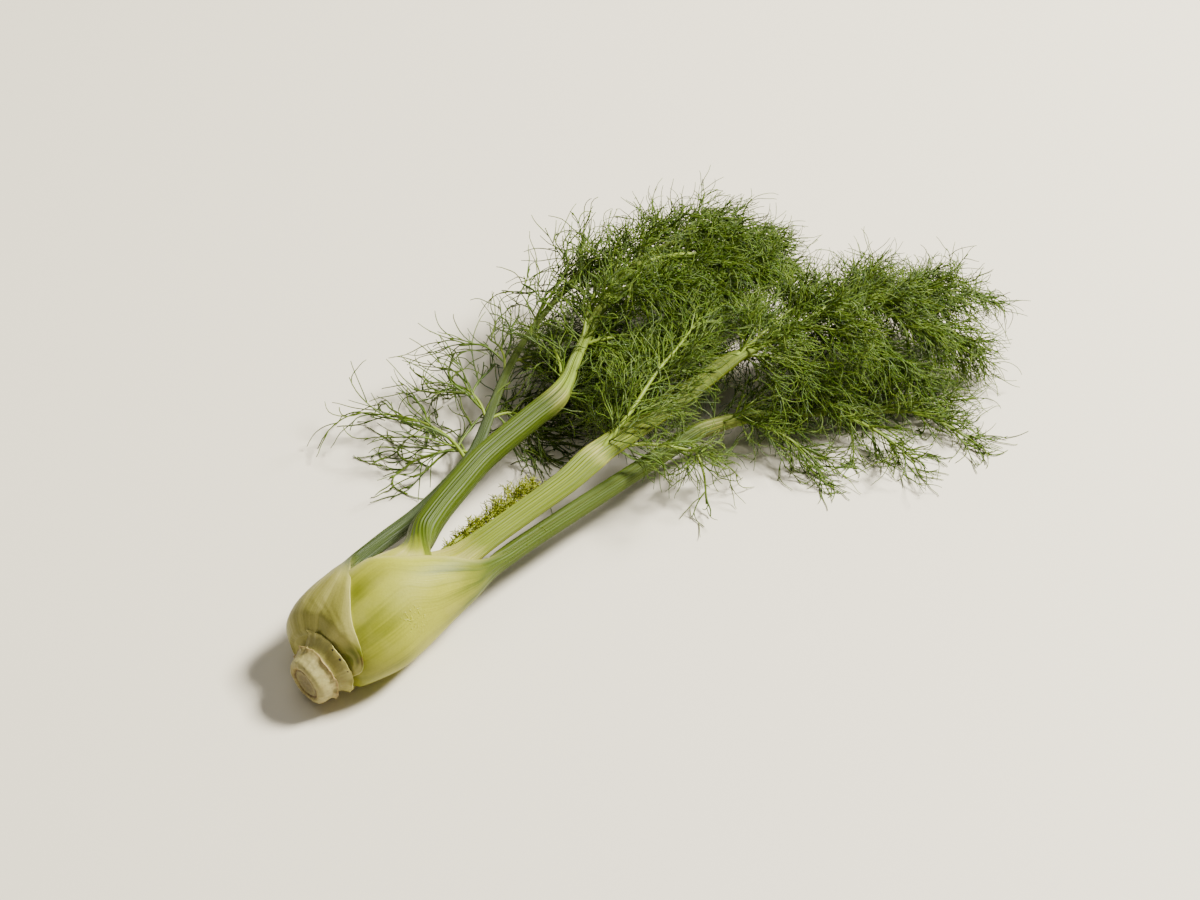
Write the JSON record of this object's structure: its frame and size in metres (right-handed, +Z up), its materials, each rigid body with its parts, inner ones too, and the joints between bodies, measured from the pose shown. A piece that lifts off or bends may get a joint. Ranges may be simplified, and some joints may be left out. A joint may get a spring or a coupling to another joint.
{
  "type": "fennel bulb",
  "caption": "Fennel bulb lying on its side: a trimmed root, overlapping leaf sheaths that swell into the bulb, ribbed green stalks and feathery leaflets.",
  "frame": {"origin": "the point of the bulb's belly that touches the surface, under the widest part", "axes": "+X along the bulb from the root to the leaves, +Y to the side that the outer leaf grows from, +Z up from the surface"},
  "size_m": [0.4397, 0.2504, 0.0745],
  "materials": {
    "root": "matt, pale woody root tissue with brown cut edges",
    "sheath": "smooth, waxy, pale yellow-green leaf sheath with fine ribs",
    "stalk": "waxy, ribbed green leaf stalk",
    "leaflet": "soft dark green threads",
    "shoot": "soft yellow-green young threads"
  },
  "bodies": {
    "root": {"front_leaf": "sheath", "front_leaflet_1": "leaflet", "front_leaflet_2": "leaflet", "front_leaflet_3": "leaflet", "front_leaflet_4": "leaflet", "front_leaflet_5": "leaflet", "front_leaflet_6": "leaflet", "front_leaflet_7": "leaflet", "left_leaf": "sheath", "left_leaflet_1": "leaflet", "left_leaflet_10": "leaflet", "left_leaflet_2": "leaflet", "left_leaflet_3": "leaflet", "left_leaflet_4": "leaflet", "left_leaflet_5": "leaflet", "left_leaflet_6": "leaflet", "left_leaflet_7": "leaflet", "left_leaflet_8": "leaflet", "left_leaflet_9": "leaflet", "middle_leaf": "stalk", "middle_leaflet_1": "leaflet", "middle_leaflet_2": "leaflet", "middle_leaflet_3": "leaflet", "middle_leaflet_4": "leaflet", "middle_leaflet_5": "leaflet", "middle_leaflet_6": "leaflet", "middle_leaflet_7": "leaflet", "middle_leaflet_8": "leaflet", "middle_leaflet_9": "leaflet", "outer_leaf": "sheath", "outer_leaflet_1": "leaflet", "outer_leaflet_2": "leaflet", "outer_leaflet_3": "leaflet", "outer_leaflet_4": "leaflet", "outer_leaflet_5": "leaflet", "outer_leaflet_6": "leaflet", "outer_leaflet_7": "leaflet", "outer_leaflet_8": "leaflet", "root_base": "root", "young_shoot": "shoot"}
  },
  "joints": []
}
